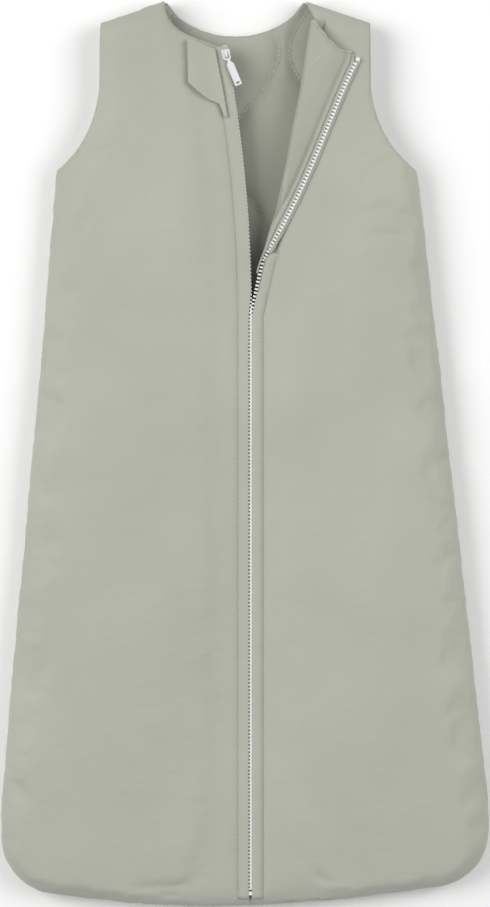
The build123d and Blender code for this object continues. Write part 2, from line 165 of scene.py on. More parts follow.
def cloth_material(name, light, dark, thread, crush, sheen):
    """Woven cloth: two dye shades, the size of a thread in metres, and how deep the crush is."""
    material = bpy.data.materials.new(name)
    material.use_nodes = True
    tree = material.node_tree
    shader = tree.nodes["Principled BSDF"]
    shader.inputs["Roughness"].default_value = 0.88
    shader.inputs["Sheen Weight"].default_value = sheen
    shader.inputs["Sheen Roughness"].default_value = 0.5
    shader.inputs["Specular IOR Level"].default_value = 0.25
    place = tree.nodes.new("ShaderNodeTexCoord")

    slow = add_node(tree, "ShaderNodeTexNoise", Scale=14.0, Detail=3.0, Roughness=0.5)
    flecks = add_node(tree, "ShaderNodeTexNoise", Scale=900.0, Detail=2.0)
    for texture in (slow, flecks):
        link_nodes(tree, place, "Object", texture, "Vector")
    mixed = tree.nodes.new("ShaderNodeMath")
    mixed.operation = "MULTIPLY_ADD"
    mixed.inputs[1].default_value = 0.35
    link_nodes(tree, flecks, "Fac", mixed, 0)
    link_nodes(tree, slow, "Fac", mixed, 2)
    dye = tree.nodes.new("ShaderNodeValToRGB")
    dye.color_ramp.elements[0].position = 0.42
    dye.color_ramp.elements[0].color = (*dark, 1.0)
    dye.color_ramp.elements[1].position = 0.92
    dye.color_ramp.elements[1].color = (*light, 1.0)
    link_nodes(tree, mixed, "Value", dye, "Fac")
    link_nodes(tree, dye, "Color", shader, "Base Color")

    # Blender's wave repeats every pi / 10 units of the scaled coordinate.
    wave_scale = math.pi / 10 / (2 * thread)
    warp = add_node(tree, "ShaderNodeTexWave", Scale=wave_scale, Distortion=0.6, Detail=1.0)
    weft = add_node(tree, "ShaderNodeTexWave", Scale=wave_scale, Distortion=0.6, Detail=1.0)
    warp.bands_direction = "X"
    weft.bands_direction = "Y"
    weave = tree.nodes.new("ShaderNodeMath")
    weave.operation = "MULTIPLY"
    for texture, socket in ((warp, 0), (weft, 1)):
        link_nodes(tree, place, "Object", texture, "Vector")
        link_nodes(tree, texture, "Fac", weave, socket)
    weave_bump = add_node(tree, "ShaderNodeBump", Strength=0.35, Distance=thread * 0.3)
    link_nodes(tree, weave, "Value", weave_bump, "Height")

    stretch = tree.nodes.new("ShaderNodeMapping")
    stretch.inputs["Scale"].default_value = (0.45, 1.0, 1.0)
    link_nodes(tree, place, "Object", stretch, "Vector")
    crushed = add_node(tree, "ShaderNodeTexNoise", Scale=260.0, Detail=4.0, Roughness=0.6)
    link_nodes(tree, stretch, "Vector", crushed, "Vector")
    crush_bump = add_node(tree, "ShaderNodeBump", Strength=crush, Distance=0.0007)
    link_nodes(tree, crushed, "Fac", crush_bump, "Height")
    link_nodes(tree, weave_bump, "Normal", crush_bump, "Normal")
    link_nodes(tree, crush_bump, "Normal", shader, "Normal")
    return material


outer_cotton = cloth_material(
    "outer_cotton", light=(0.455, 0.462, 0.395), dark=(0.415, 0.422, 0.358),
    thread=0.00035, crush=0.45, sheen=0.2,
)
lining_cotton = cloth_material(
    "lining_cotton", light=(0.425, 0.432, 0.365), dark=(0.385, 0.392, 0.328),
    thread=0.00035, crush=0.4, sheen=0.2,
)
tape_cloth = cloth_material(
    "zip_tape", light=(0.47, 0.475, 0.41), dark=(0.42, 0.425, 0.365),
    thread=0.0006, crush=0.1, sheen=0.15,
)
print("cloth materials", [m.name for m in (outer_cotton, lining_cotton, tape_cloth)])

# %% [markdown]
# ## Plastic, enamel and steel
# The teeth are moulded from glossy white plastic, the slider and its pull are enamelled die-castings,
# and the lock spring inside is bare steel. Small changes in roughness keep them from looking ideal.

# %% Hard materials
def hard_material(name, colour, rough_low, rough_high, metal, coat):
    """A hard finish whose roughness drifts a little over the piece."""
    material = bpy.data.materials.new(name)
    material.use_nodes = True
    tree = material.node_tree
    shader = tree.nodes["Principled BSDF"]
    shader.inputs["Base Color"].default_value = (*colour, 1.0)
    shader.inputs["Metallic"].default_value = metal
    shader.inputs["Coat Weight"].default_value = coat
    place = tree.nodes.new("ShaderNodeTexCoord")
    drift = add_node(tree, "ShaderNodeTexNoise", Scale=700.0, Detail=2.0)
    link_nodes(tree, place, "Object", drift, "Vector")
    rough = tree.nodes.new("ShaderNodeMapRange")
    rough.inputs["To Min"].default_value = rough_low
    rough.inputs["To Max"].default_value = rough_high
    link_nodes(tree, drift, "Fac", rough, "Value")
    link_nodes(tree, rough, "Result", shader, "Roughness")
    orange_peel = add_node(tree, "ShaderNodeBump", Strength=0.12, Distance=0.00005)
    link_nodes(tree, drift, "Fac", orange_peel, "Height")
    link_nodes(tree, orange_peel, "Normal", shader, "Normal")
    return material


tooth_plastic = hard_material("tooth_plastic", (0.8, 0.8, 0.81), 0.3, 0.45, metal=0.0, coat=0.1)
enamel = hard_material("white_enamel", (0.78, 0.78, 0.8), 0.2, 0.35, metal=0.0, coat=0.3)
steel = hard_material("spring_steel", (0.55, 0.55, 0.56), 0.25, 0.45, metal=1.0, coat=0.0)
print("hard materials ready")

# %% [markdown]
# ## Lines that everything follows
# The closed zip is a straight line. Above it the left row bends gently on a circle about the point
# where the slider's travel is centred, and the lapel folds on the line of its hinge. These lines are
# read from the frame, so every seam and stitch lies where the hard pieces are.

# %% Lines
MM = 0.001
joints = {joint["name"]: joint for joint in frame["joints"]}
bend_centre = Vector(joints["slider_travel"]["pos_m"])
zip_x = sum(v.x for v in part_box("bottom_stop")) / 2
zip_z = bend_centre.z
open_y = bend_centre.y
bend_radius = zip_x - bend_centre.x
left_top_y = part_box("top_stop_left")[1].y
chain_low_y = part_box("zip_tape_left")[0].y
fold_point = Vector(joints["lapel_fold"]["pos_m"])
fold_up = -Vector(joints["lapel_fold"]["axis"]).normalized()
fold_out = Vector((fold_up.y, -fold_up.x, 0.0))
panel_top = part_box("front_left_outer")[1].z


def chain_distance(point):
    """How far a point is to the left of the zip's middle line, on the left row's side."""
    if point.y < open_y:
        return zip_x - point.x
    return bend_radius - math.hypot(point.x - bend_centre.x, point.y - bend_centre.y)


def on_left_row(out, y):
    """The place beside the left row, out to the left of it, at a height."""
    if y <= open_y:
        return Vector((zip_x - out, y, zip_z))
    radius = bend_radius - out
    return Vector((bend_centre.x + math.sqrt(radius**2 - (y - open_y) ** 2), y, zip_z))


def fold_place(point):
    """How far a point is up the fold line, and out from it to the right."""
    away = point - fold_point
    return away.dot(fold_up), away.dot(fold_out)


def right_distance(point):
    """How far a point is to the right of the closed chain and of the fold line above it."""
    up, out = fold_place(point)
    return point.x - zip_x if up < 0 else out + fold_point.x - zip_x


def smooth_step(low, high, value):
    """0 below low, 1 above high, and an even S between them."""
    t = min(max((value - low) / (high - low), 0.0), 1.0)
    return t * t * (3 - 2 * t)


print("closed zip at x", round(zip_x, 4), "bend radius", round(bend_radius, 4), "fold", fold_up)

# %% [markdown]
# ## Making a pad
# A quilted panel is a stuffed shape with soft edges. Its frame solid has the right outline, so a
# voxel remesh of that solid gives an even skin, a short cloth simulation with air pressure inside
# puffs and wrinkles it, and a subdivision smooths it. The cloth is cut slightly too big for its
# place, which is what makes real padding pucker along its seams. Voxels round off a thin rim, so the
# rim is brought back out to the outline of the solid at the end.

# %% Helpers for pads
def frame_copy(nodes):
    """A bmesh of some frame nodes with their loose triangles joined."""
    made = bmesh.new()
    for node in nodes:
        made.from_mesh(frame["nodes"][node].data)
    bmesh.ops.remove_doubles(made, verts=made.verts, dist=1e-6)
    return made


def finished(made, name):
    """Turns a bmesh into an object at the origin with smooth faces."""
    piece = new_object(name, as_mesh(made, name))
    piece.data.shade_smooth()
    return piece


def apply_modifiers(piece):
    """Bakes the modifiers into the mesh and takes them off."""
    bpy.context.view_layer.update()
    shown = piece.evaluated_get(bpy.context.evaluated_depsgraph_get())
    mesh = bpy.data.meshes.new_from_object(shown)
    piece.modifiers.clear()
    piece.data = mesh
    mesh.name = piece.name
    mesh.shade_smooth()


def voxel_skin(name, nodes, voxel):
    """One even skin round some frame nodes."""
    piece = finished(frame_copy(nodes), name)
    remesh = piece.modifiers.new("voxels", "REMESH")
    remesh.mode = "VOXEL"
    remesh.voxel_size = voxel
    apply_modifiers(piece)
    solid = finished(frame_copy(nodes), name + "_solid")
    for _ in range(2):
        snap = piece.modifiers.new("snap", "SHRINKWRAP")
        snap.target = solid
        snap.wrap_method = "NEAREST_SURFACEPOINT"
        relax = piece.modifiers.new("relax", "SMOOTH")
        relax.factor = 0.5
        relax.iterations = 1
    apply_modifiers(piece)
    bpy.data.objects.remove(solid)
    print(name, "skin of", len(piece.data.polygons), "faces")
    return piece


def evened(piece, vectors, rounds):
    """One vector for each point, averaged a few times with those of the points beside it."""
    for _ in range(rounds):
        sums = [vector.copy() for vector in vectors]
        counts = [1] * len(vectors)
        for edge in piece.data.edges:
            first, last = edge.vertices
            sums[first] += vectors[last]
            sums[last] += vectors[first]
            counts[first] += 1
            counts[last] += 1
        vectors = [total / count for total, count in zip(sums, counts)]
    return vectors


def sharpen_outline(piece, nodes, overshoot):
    """Brings the steep rim of a skin back out to the outline of its frame solids."""
    made = frame_copy(nodes)
    tree = BVHTree.FromBMesh(made)
    made.free()
    normals = evened(piece, [vertex.normal.copy() for vertex in piece.data.vertices], rounds=4)
    moves = [Vector() for vertex in piece.data.vertices]
    for vertex, normal in zip(piece.data.vertices, normals):
        steep = 1 - smooth_step(0.62, 0.93, abs(normal.z) / max(normal.length, 0.01))
        flat = Vector((normal.x, normal.y, 0.0))
        if steep > 0 and flat.length > 0.01:
            outwards = flat.normalized()
            # A place that is still inside the solids finds a layer's face, so it tries further out.
            for reach in (overshoot, 2 * overshoot):
                outside = vertex.co + outwards * reach
                target = tree.find_nearest(outside)[0]
                if (outside - target).dot(outwards) > 0.5 * MM:
                    break
            moves[vertex.index] = (target - vertex.co) * steep
    for vertex, move in zip(piece.data.vertices, moves):
        vertex.co += move
    piece.data.update()
    print(piece.name, "rim brought out by up to", round(max(m.length for m in moves) * 1000, 1), "mm")


PUFF_FRAMES = 20


def start_puff(piece, free, pressure, spare):
    """Gives a skin air pressure. free says from 0 to 1 how loose each point is."""
    held = piece.vertex_groups.new(name="held")
    for vertex in piece.data.vertices:
        held.add([vertex.index], 1.0 - free(vertex.co), "REPLACE")
    cloth = piece.modifiers.new("cloth", "CLOTH")
    settings = cloth.settings
    settings.quality = 4
    settings.mass = 0.15
    settings.tension_stiffness = 12.0
    settings.compression_stiffness = 8.0
    settings.bending_stiffness = 0.35
    settings.use_pressure = True
    settings.uniform_pressure_force = pressure
    settings.shrink_min = -spare
    settings.effector_weights.gravity = 0.0
    settings.vertex_group_mass = "held"
    settings.pin_stiffness = 1.0


def settle(pieces, caps):
    """Runs the cloth of all the pads together, then limits how far each point has moved."""
    before = {piece.name: [v.co.copy() for v in piece.data.vertices] for piece in pieces}
    for step in range(1, PUFF_FRAMES + 1):
        bpy.context.scene.frame_set(step)
    for piece, cap in zip(pieces, caps):
        apply_modifiers(piece)
        piece.vertex_groups.clear()
        furthest = 0.0
        for vertex, start in zip(piece.data.vertices, before[piece.name]):
            move = vertex.co - start
            furthest = max(furthest, move.length)
            if move.length > cap:
                vertex.co = start + move.normalized() * cap
        print(piece.name, "moved at most", round(furthest * 1000, 1), "mm, held to", cap * 1000)
    bpy.context.scene.frame_set(1)


def subdivide(piece):
    """One smooth subdivision."""
    finer = piece.modifiers.new("finer", "SUBSURF")
    finer.levels = 1
    finer.render_levels = 1
    apply_modifiers(piece)


def shape(piece, move):
    """Moves each point of a piece by what move(place, normal) returns."""
    normals = [v.normal.copy() for v in piece.data.vertices]
    for vertex, normal in zip(piece.data.vertices, normals):
        vertex.co += move(vertex.co.copy(), normal)
    piece.data.update()


# %% [markdown]
# ## Wrinkles
# Washed cotton padding shows slow swells a hand wide, long soft folds that lean a little, a fine
# crush in patches and short gathers along its seams. Noise at a size of its own gives each of them.

# %% Wrinkle heights
def swell(p):
    """Slow ups and downs of the padding, about from -1 to 1."""
    return noise.noise(Vector((p.x * 11.0, p.y * 8.0, 3.7))) * 1.3


def crush(p):
    """Fine crush, drawn out sideways and stronger in patches."""
    patch = smooth_step(-0.25, 0.45, noise.noise(Vector((p.x * 9.0, p.y * 9.0, 8.1))))
    fine = noise.noise(Vector((p.x * 85.0, p.y * 230.0, p.z * 150.0)))
    finer = noise.noise(Vector((p.x * 190.0, p.y * 420.0, p.z * 300.0 + 5.0)))
    return (fine + 0.5 * finer) * (0.35 + 0.65 * patch)


def pucker(p):
    """Short gathers that run in from a seam."""
    return noise.noise(Vector((p.x * 120.0, p.y * 120.0, p.z * 20.0)))


def drape(p):
    """Soft long folds that lean a little."""
    turned = Vector((p.x * 24.0 + p.y * 9.0, p.y * 10.0 - p.x * 6.0, 1.3))
    return noise.noise(turned)


# %% [markdown]
# ## The three big pads
# Back, left front and right front are each one pad of cloth over wadding. They are held where they
# are sewn: round the outside, along the zip and under the folded lapel. Everything else is loose.

# %% Pads
VOXEL = 0.0042
SPARE_CLOTH = 0.035
PUFF = 3.0
PAD_NODES = {
    "front_left_pad": ["front_left_outer", "front_left_wadding"],
    "front_right_pad": ["front_right_outer", "front_right_wadding"],
    "back_pad": ["back_outer", "back_wadding"],
}
front_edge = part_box("front_left_outer")[0].z


def loose_front(p, from_zip):
    """How loose a front is: held beside the zip and along its seam, free between them."""
    near_zip = smooth_step(9 * MM, 40 * MM, from_zip)
    near_seam = smooth_step(front_edge + 1 * MM, front_edge + 12 * MM, p.z)
    return 0.05 + 0.95 * near_zip * near_seam


def loose_front_left(p):
    """The left front is held nowhere else."""
    return loose_front(p, chain_distance(p))


def loose_front_right(p):
    """The right front is also held where the folded lapel lies on it."""
    up, out = fold_place(p)
    under_lapel = smooth_step(30 * MM, 60 * MM, up) * (1 - smooth_step(45 * MM, 75 * MM, out))
    return loose_front(p, right_distance(p)) * (1 - under_lapel)


def loose_back(p):
    """The back lies on the floor, so only its upper side is free."""
    return smooth_step(1 * MM, 4 * MM, p.z) * 0.6


front_left, front_right, back = [voxel_skin(name, PAD_NODES[name], VOXEL) for name in PAD_NODES]
start_puff(front_left, loose_front_left, PUFF, SPARE_CLOTH)
start_puff(front_right, loose_front_right, PUFF, SPARE_CLOTH)
start_puff(back, loose_back, PUFF * 0.5, SPARE_CLOTH)
settle([front_left, front_right, back], [3.2 * MM, 3.2 * MM, 1.0 * MM])
for pad in (front_left, front_right, back):
    subdivide(pad)
    sharpen_outline(pad, PAD_NODES[pad.name], overshoot=3.0 * MM)

# %% [markdown]
# ## Shaping the pads
# Beside the zip the padding is stitched down to a channel, so its height there is limited and rises
# in a rounded shoulder. The channel's faces are halved, because their size would show in that bend.
# The wrinkles are then laid over each pad along its normals.

# %% Shape the fronts
STITCH_LINE = 9.4 * MM
PRESSED_LEVEL = panel_top - 2.2 * MM
UPPER_SIDE = 18 * MM
SHOULDER = 22 * MM
FULL_RISE = 7.5 * MM
SMOOTH_FROM = 12 * MM
SMOOTH_TO = 52 * MM
SMOOTH_ROUNDS = 24


def refine_beside(piece, distance_to_zip, reach):
    """Smooths the padding beside the zip, then halves the faces of the stitched channel."""
    made = bmesh.new()
    made.from_mesh(piece.data)
    upper = [v for v in made.verts if v.co.z > UPPER_SIDE]
    soft = [v for v in upper if SMOOTH_FROM < distance_to_zip(v.co) < SMOOTH_TO]
    for _ in range(SMOOTH_ROUNDS):
        bmesh.ops.smooth_vert(
            made, verts=soft, factor=0.5, use_axis_x=False, use_axis_y=False, use_axis_z=True
        )
    channel = {v for v in made.verts if v.co.z > UPPER_SIDE and distance_to_zip(v.co) < reach}
    near = [edge for edge in made.edges if channel.issuperset(edge.verts)]
    bmesh.ops.subdivide_edges(made, edges=near, cuts=1, use_grid_fill=True)
    made.to_mesh(piece.data)
    made.free()
    piece.data.shade_smooth()


def soft_least(a, b, blend):
    """The lesser of two heights, with a rounded change between them."""
    t = min(max(0.5 + 0.5 * (b - a) / blend, 0.0), 1.0)
    return b * (1 - t) + a * t - blend * t * (1 - t)


def front_surface(distance_to_zip, looseness):
    """The move that wrinkles a front and presses it down to the stitched channel beside the zip."""
    def move(p, normal):
        away = distance_to_zip(p)
        relief = 1.0 * MM * swell(p) + 0.9 * MM * drape(p) + 0.34 * MM * crush(p)
        seam_pull = 1 - smooth_step(front_edge + 5 * MM, panel_top - 1 * MM, p.z)
        gathers = 0.8 * MM * pucker(p) * seam_pull * looseness(p)
        shift = normal * (relief * (0.25 + 0.75 * looseness(p)) + gathers)
        if p.z > panel_top - 5 * MM:
            rise = math.sqrt(min(max((away - STITCH_LINE) / SHOULDER, 0.0), 1.0))
            pressed = 0.8 * MM * (1 - smooth_step(0.0, 4 * MM, STITCH_LINE - away))
            limit = PRESSED_LEVEL + FULL_RISE * rise - pressed
            shift.z = soft_least(shift.z, limit - p.z, blend=2.5 * MM)
        return shift
    return move


for pad, distance, looseness in (
    (front_left, chain_distance, loose_front_left),
    (front_right, right_distance, loose_front_right),
):
    refine_beside(pad, distance, reach=17 * MM)
    shape(pad, front_surface(distance, looseness))
    print(pad.name, "pressed down beside the zip")

# %% Shape the back
# Where the shoulders meet the neck edge.
NECK_POINTS = (Vector((-62.5 * MM, 353 * MM, 0.0)), Vector((46.8 * MM, 353.5 * MM, 0.0)))


def neck_lift(p):
    """The back reaches up to the neck points of the shoulders, where it is sewn to the fronts."""
    near = max(math.exp(-((p.xy - point.xy).length / (8 * MM)) ** 2) for point in NECK_POINTS)
    return Vector((0.0, 3.2 * MM * near, 0.0))


def back_surface(p, normal):
    """The move that wrinkles the back a little and keeps it on the floor."""
    shift = normal * (0.5 * MM * swell(p) + 0.2 * MM * crush(p)) * (0.4 + 0.6 * loose_back(p))
    shift.z = max(shift.z, -p.z + 0.05 * MM)
    return shift + neck_lift(p)


shape(back, back_surface)

# %% Cover the pads
def finish_piece(piece, body, slot, material, *nodes):
    """Gives a piece its material, hangs it on the empty of its body and hides the frame nodes it stands
    for.
    """
    piece.data.materials.clear()
    piece.data.materials.append(material)
    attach(piece, body)
    if nodes:
        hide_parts(*nodes)


for pad in (front_left, front_right, back):
    finish_piece(pad, "bag", "outer_cotton", outer_cotton, *PAD_NODES[pad.name])
    print(pad.name, "faces", len(pad.data.polygons))

# %% [markdown]
# ## Even rows of small pieces
# Teeth and stitches repeat hundreds of times, so each is one small mesh of a few dozen faces, copied
# along its line. The teeth stand where the frame has them, and a stitch lies on the cloth under it.

# %% Helpers for rows
def corners(verts):
    """The low and the high corner of the box round some points."""
    low = Vector([min(v.co[i] for v in verts) for i in range(3)])
    high = Vector([max(v.co[i] for v in verts) for i in range(3)])
    return low, high


def loose_parts(node):
    """The middle of each separate solid of a frame node."""
    made = frame_copy([node])
    waiting = set(made.verts)
    middles = []
    while waiting:
        part = [waiting.pop()]
        for vertex in part:
            for edge in vertex.link_edges:
                other = edge.other_vert(vertex)
                if other in waiting:
                    waiting.remove(other)
                    part.append(other)
        low, high = corners(part)
        middles.append((low + high) / 2)
    made.free()
    return middles


def scatter(name, places):
    """Small meshes, each at a place given as a matrix, joined in one object."""
    made = bmesh.new()
    for unit, place in places:
        count = len(made.verts)
        made.from_mesh(unit)
        made.verts.ensure_lookup_table()
        bmesh.ops.transform(made, matrix=place, verts=made.verts[count:])
    return finished(made, name)


def facing_along(place, along, up=Vector((0.0, 0.0, 1.0))):
    """A matrix whose Y runs along a direction and whose Z is as near up as it can be."""
    y_axis = along.normalized()
    x_axis = y_axis.cross(up).normalized()
    z_axis = x_axis.cross(y_axis)
    turn = Matrix((x_axis, y_axis, z_axis)).transposed().to_4x4()
    return Matrix.Translation(place) @ turn


def at_value(points, value):
    """Reads a smooth curve through a few (value, result) points."""
    if value <= points[0][0]:
        return points[0][1]
    for (low, first), (high, last) in zip(points, points[1:]):
        if value <= high:
            return first + (last - first) * smooth_step(low, high, value)
    return points[-1][1]


def read_line(points, value):
    """Reads straight runs through (value, result) points."""
    if value <= points[0][0]:
        return points[0][1]
    for (low, first), (high, last) in zip(points, points[1:]):
        if value <= high:
            return first + (last - first) * (value - low) / (high - low)
    return points[-1][1]


def row_order(middles, key):
    """Middles sorted along their row, each with the direction of the row there."""
    ordered = sorted(middles, key=key)
    places = []
    for i, middle in enumerate(ordered):
        before = ordered[max(i - 1, 0)]
        after = ordered[min(i + 1, len(ordered) - 1)]
        places.append((middle, after - before))
    return places


left_row = row_order(loose_parts("zip_teeth_left"), key=lambda p: p.y)
right_row = row_order(loose_parts("zip_teeth_right"), key=lambda p: p.y)
lapel_row = row_order(loose_parts("zip_teeth_lapel"), key=lambda p: fold_place(p)[0])
turned_row = [p for p, along in right_row if p.y > open_y] + [p for p, along in lapel_row]
fold_row = [fold_place(p) for p in turned_row]


def row_out(up):
    """How far the turned row lies out from the fold line, at a place up that line."""
    return read_line(fold_row, up)


print("teeth:", len(left_row), "left,", len(right_row), "right,", len(lapel_row), "on the lapel")

# %% [markdown]
# ## Teeth
# A moulded tooth is a little block with every edge eased, sitting astride the edge of its tape.
# A cube with bevelled edges is all that shows at this size.

# %% Tooth shapes
TOOTH_HEIGHT = 2.4 * MM
TOOTH_WIDTH = 3.2 * MM


def tooth_shape(name, root, head, back):
    """A bevelled tooth whose root end lies at -X; root and head are its lengths along the row."""
    made = bmesh.new()
    bmesh.ops.create_cube(made, size=1.0)
    bmesh.ops.scale(made, vec=(TOOTH_WIDTH, 1.0, TOOTH_HEIGHT), verts=made.verts)
    for vertex in made.verts:
        vertex.co.y *= root if vertex.co.x < 0 else head
        vertex.co.x -= back
    bmesh.ops.bevel(
        made, geom=made.edges[:], offset=0.25 * MM, segments=1, profile=0.5,
        affect="EDGES", material=-1,
    )
    return as_mesh(made, name)


left_closed_tooth = tooth_shape("left_closed_tooth", root=1.3 * MM, head=1.4 * MM, back=0.1 * MM)
right_closed_tooth = tooth_shape("right_closed_tooth", root=1.4 * MM, head=1.3 * MM, back=1.1 * MM)
turning_tooth = tooth_shape("turning_tooth", root=1.3 * MM, head=1.6 * MM, back=0.4 * MM)
open_tooth = tooth_shape("open_tooth", root=1.25 * MM, head=2.5 * MM, back=0.4 * MM)
turn_round = Matrix.Rotation(math.pi, 4, "Z")


# %% Tooth rows
TOOTH_PITCH = 2.86 * MM
WIDE_TEETH_FROM = 68 * MM

# The frame leaves the turn between the right row and the lapel's row bare, so teeth are added there.
last_right, first_lapel = right_row[-1][0], lapel_row[0][0]
gap = first_lapel - last_right
between = max(round(gap.length / TOOTH_PITCH) - 1, 0)
joining = [(last_right + gap * (i + 1) / (between + 1), gap) for i in range(between)]


def tooth_for(middle, root_on_right):
    """Closed teeth are slim and lie close. Up the lapel their heads stand wide."""
    up = fold_place(middle)[0]
    if middle.y < open_y + 2 * MM:
        return right_closed_tooth if root_on_right else left_closed_tooth
    return open_tooth if up > WIDE_TEETH_FROM else turning_tooth


for name, row, root_on_right, body, node in (
    ("left_teeth", left_row, False, "bag", "zip_teeth_left"),
    ("right_teeth", right_row + joining[: between // 2], True, "bag", "zip_teeth_right"),
    ("lapel_teeth", joining[between // 2:] + lapel_row, False, "lapel", "zip_teeth_lapel"),
):
    turn = turn_round if root_on_right else Matrix.Identity(4)
    shapes = [tooth_for(middle, root_on_right) for middle, along in row]
    places = [facing_along(middle, along) @ turn for middle, along in row]
    teeth = scatter(name, zip(shapes, places))
    teeth.data.shade_flat()
    finish_piece(teeth, body, "zip_plastic", tooth_plastic, node)
    print(name, len(row), "teeth,", len(teeth.data.polygons), "faces")

# %% [markdown]
# ## Strips along the zip
# Each side of the zip has a woven tape with a thick cord at its edge, and over it a folded edge of
# the outer cloth. Both are strips of one section: the section is extruded up the straight zip and
# then spun round the centre of the bend, which is just how the row of teeth runs.

# %% Helpers for strips
STEP = 3 * MM


def strip_section(points):
    """A bmesh with one open line of vertices, and its edges."""
    made = bmesh.new()
    line = [made.verts.new(p) for p in points]
    edges = [made.edges.new(pair) for pair in zip(line, line[1:])]
    return made, edges


def run_on(made, edges, direction, length):
    """Extrudes a section straight on in short steps and returns its new end."""
    steps = max(round(length / STEP), 1)
    for _ in range(steps):
        grown = bmesh.ops.extrude_edge_only(made, edges=edges)["geom"]
        moved = [g for g in grown if isinstance(g, bmesh.types.BMVert)]
        bmesh.ops.translate(made, vec=direction * (length / steps), verts=moved)
        edges = [g for g in grown if isinstance(g, bmesh.types.BMEdge)]
    return edges


def run_bend(made, edges, top_y):
    """Spins a section round the centre of the bend until it reaches a height."""
    angle = math.asin((top_y - open_y) / bend_radius)
    steps = round(bend_radius * angle / STEP)
    bmesh.ops.spin(
        made, geom=edges, cent=bend_centre, axis=(0, 0, 1), dvec=(0, 0, 0),
        angle=angle, steps=steps, use_duplicate=False,
    )


def thicken(made, thickness):
    """Gives a sheet a thickness below its face."""
    bmesh.ops.recalc_face_normals(made, faces=made.faces)
    if sum(face.normal.z * face.calc_area() for face in made.faces) < 0:
        bmesh.ops.reverse_faces(made, faces=made.faces)
    bmesh.ops.solidify(made, geom=made.faces[:], thickness=thickness)


def left_strip(name, section, low_y, top_y, thickness):
    """A strip beside the left row. The section is (out, z) points from the zip outwards."""
    made, edges = strip_section([(zip_x - out, low_y, z) for out, z in section])
    edges = run_on(made, edges, Vector((0.0, 1.0, 0.0)), open_y - low_y)
    run_bend(made, edges, top_y)
    bmesh.ops.remove_doubles(made, verts=made.verts, dist=1e-5)
    thicken(made, thickness)
    return finished(made, name)


def right_strip(name, section, low_y, up_end, thickness):
    """A strip beside the right row, then on beside the fold line."""
    made, edges = strip_section([(zip_x + out, low_y, z) for out, z in section])
    edges = run_on(made, edges, Vector((0.0, 1.0, 0.0)), open_y - low_y)
    run_on(made, edges, fold_up, up_end)
    thicken(made, thickness)
    return finished(made, name)


# %% Folded cloth edges
CHAIN_EDGE = 1.3 * MM
STITCH_LEVEL = panel_top - 1.5 * MM
COVER = 1.95 * MM
STOP_COVER = 2.4 * MM
WAVER = 0.2 * MM
WAVER_UP = 0.12 * MM
stop_low, stop_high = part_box("top_stop_left")
fold_section = [
    (CHAIN_EDGE + 0.25 * MM, panel_top - 0.05 * MM),
    (CHAIN_EDGE, panel_top + 0.08 * MM),
    (CHAIN_EDGE + 0.15 * MM, panel_top + 0.28 * MM),
    (CHAIN_EDGE + 0.9 * MM, panel_top + 0.4 * MM),
    (4.5 * MM, panel_top + 0.42 * MM),
    (6.8 * MM, panel_top + 0.1 * MM),
    (8.6 * MM, panel_top - 0.6 * MM),
    (STITCH_LINE, STITCH_LEVEL),
    (STITCH_LINE + 0.9 * MM, STITCH_LEVEL - 0.5 * MM),
]


def ripple(p):
    """A faint waver along a folded edge."""
    return noise.noise(Vector((p.x * 60.0, p.y * 150.0, 2.2)))


def cover_row(p, normal):
    """Above the closed zip the left fold relaxes over the backs of the teeth."""
    away = chain_distance(p)
    near = 1 - smooth_step(2 * MM, 8 * MM, away)
    opened = smooth_step(open_y - 4 * MM, open_y + 25 * MM, p.y)
    shift = Vector((COVER * near * opened, 0.0, 0.0))
    shift.x += WAVER * ripple(p) * near
    shift.z = WAVER_UP * ripple(p * 1.7) * (1 - near)
    level = panel_top + 0.18 * MM if normal.z > -0.3 else panel_top + 0.02 * MM
    shift.z += (level - p.z) * opened * (1 - smooth_step(3.0 * MM, 5.0 * MM, away))
    over_stop = smooth_step(stop_low.y - 0.6 * MM, stop_low.y + 0.4 * MM, p.y)
    shift.x += STOP_COVER * near * over_stop
    over_edge = over_stop * (1 - smooth_step(3.5 * MM, 7.0 * MM, away))
    shift.z += (stop_high.z + 0.3 * MM - level) * over_edge
    return shift


def ripple_edge(p, normal):
    """The waver alone, for an edge that covers nothing."""
    return Vector((WAVER * ripple(p), 0.0, WAVER_UP * ripple(p * 1.7)))


def beside_turn(p, normal):
    """Where the row of teeth turns on to the lapel, the right fold keeps beside it."""
    up, out = fold_place(p)
    edge = CHAIN_EDGE + zip_x - fold_point.x
    aside = max(row_out(up) + 2.3 * MM - edge, 0.0) if up > 20 * MM else 0.0
    return ripple_edge(p, normal) + fold_out * aside


fold_low_y = chain_low_y - 6 * MM
left_fold = left_strip("left_zip_fold", fold_section, fold_low_y, left_top_y, thickness=0.35 * MM)
shape(left_fold, cover_row)
right_fold = right_strip("right_zip_fold", fold_section, fold_low_y, 52 * MM, thickness=0.35 * MM)
shape(right_fold, beside_turn)
for fold_piece, under in ((left_fold, "left_zip_tape"), (right_fold, "right_zip_tape")):
    finish_piece(fold_piece, "bag", "outer_cotton", outer_cotton)
    length = fold_piece.dimensions.y
    print(fold_piece.name, "is", round(length, 3), "m long")

